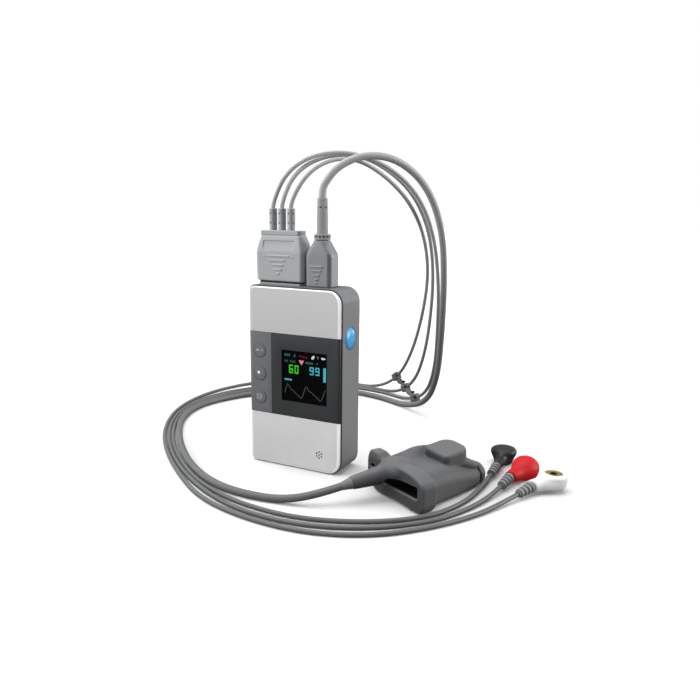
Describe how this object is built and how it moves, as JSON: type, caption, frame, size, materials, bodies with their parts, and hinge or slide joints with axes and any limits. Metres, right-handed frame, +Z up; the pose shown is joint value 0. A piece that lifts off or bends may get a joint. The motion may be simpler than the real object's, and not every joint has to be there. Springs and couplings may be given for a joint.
{
  "type": "ecg telemetry transmitter",
  "caption": "Pocket patient transmitter with keys and a colour display, a lead plug with snap connectors, a finger sensor on its cable and a rear battery door.",
  "frame": {"origin": "middle of the flat base of the housing, at mid depth", "axes": "+Z up along the housing, -Y out of the front face with its display, +X towards the side button"},
  "size_m": [0.2863, 0.2561, 0.1769],
  "materials": {
    "housing_grey": "fine-textured moulded grey",
    "panel_silver": "satin silver paint with a bright bevel",
    "keypad_grey": "satin mid grey",
    "bezel_charcoal": "smooth charcoal",
    "lens_clear": "clear polished lens",
    "display_black": "dark screen",
    "key_grey": "soft-touch grey",
    "button_blue": "glossy light blue",
    "plug_light": "satin light grey overmould",
    "plug_grey": "satin grey overmould",
    "relief_grey": "flexible grey overmould",
    "cord_grey": "satin grey jacket",
    "silicone_dark": "soft dark grey silicone",
    "snap_black": "satin black",
    "snap_red": "satin red",
    "snap_white": "satin white",
    "brass": "plated brass",
    "steel": "plain steel",
    "frame_plastic": "black glass-filled plastic",
    "board_green": "solder mask",
    "foam_black": "closed-cell foam",
    "battery_wrap": "shrink film"
  },
  "bodies": {
    "transmitter": {"rear_housing": "housing_grey", "front_housing": "frame_plastic", "housing_seal": "foam_black", "case_screws": "steel", "upper_front_panel": "panel_silver", "lower_front_panel": "panel_silver", "keypad_panel": "keypad_grey", "display_bezel": "bezel_charcoal", "display_lens": "lens_clear", "display_gasket": "foam_black", "display_module": "display_black", "key_domes": "steel", "side_switch": "frame_plastic", "main_board": "board_green", "board_screws": "steel", "radio_module": "steel", "antenna": "brass", "speaker": "steel", "battery_tray": "frame_plastic", "battery_pack": "battery_wrap", "battery_contacts": "brass", "battery_door_pin": "steel", "ecg_socket": "frame_plastic", "ecg_socket_contacts": "brass", "spo2_socket": "frame_plastic", "spo2_socket_contacts": "brass", "black_lead": "cord_grey", "red_lead": "cord_grey", "white_lead": "cord_grey", "spo2_cable": "cord_grey", "snap_boot_black": "relief_grey", "snap_boot_red": "relief_grey", "snap_boot_white": "relief_grey", "snap_shell_black": "snap_black", "snap_shell_red": "snap_red", "snap_shell_white": "snap_white", "snap_contact_black": "brass", "snap_contact_red": "brass", "snap_contact_white": "brass", "lead_separator": "silicone_dark", "finger_sensor_boot": "silicone_dark", "sensor_strain_relief": "silicone_dark", "sensor_emitter": "frame_plastic", "sensor_detector": "frame_plastic"},
    "key_top_body": {"key_top": "key_grey"},
    "key_middle_body": {"key_middle": "key_grey"},
    "key_bottom_body": {"key_bottom": "key_grey"},
    "side_button_body": {"side_button": "button_blue"},
    "battery_door_body": {"battery_door": "housing_grey", "battery_door_seal": "foam_black"},
    "ecg_plug": {"ecg_plug_body": "plug_light", "ecg_plug_nose": "frame_plastic", "ecg_plug_pins": "brass", "ecg_plug_seal": "plug_light", "ecg_plug_boots": "plug_light"},
    "spo2_plug": {"spo2_plug_body": "plug_grey", "spo2_plug_nose": "frame_plastic", "spo2_plug_pins": "brass", "spo2_plug_collar": "relief_grey", "spo2_boot": "relief_grey"}
  },
  "joints": [
    {"name": "key_top_press", "type": "slide", "parent": "transmitter", "child": "key_top_body", "axis": [0, 1, 0], "range_m": [0, 0.0005], "stiffness_N_per_m": 600},
    {"name": "key_middle_press", "type": "slide", "parent": "transmitter", "child": "key_middle_body", "axis": [0, 1, 0], "range_m": [0, 0.0005], "stiffness_N_per_m": 600},
    {"name": "key_bottom_press", "type": "slide", "parent": "transmitter", "child": "key_bottom_body", "axis": [0, 1, 0], "range_m": [0, 0.0005], "stiffness_N_per_m": 600},
    {"name": "side_button_press", "type": "slide", "parent": "transmitter", "child": "side_button_body", "axis": [-1, 0, 0], "range_m": [0, 0.0008], "stiffness_N_per_m": 600},
    {"name": "battery_door_swing", "type": "hinge", "parent": "transmitter", "child": "battery_door_body", "pos_m": [0, 0.0095, 0.01185], "axis": [-1, 0, 0], "range_deg": [0, 95]},
    {"name": "ecg_plug_pull", "type": "slide", "parent": "transmitter", "child": "ecg_plug", "axis": [0, 0, 1], "range_m": [0, 0.012], "deforming": ["black_lead", "red_lead", "white_lead"]},
    {"name": "spo2_plug_pull", "type": "slide", "parent": "transmitter", "child": "spo2_plug", "axis": [0, 0, 1], "range_m": [0, 0.012], "deforming": ["spo2_cable"]}
  ]
}
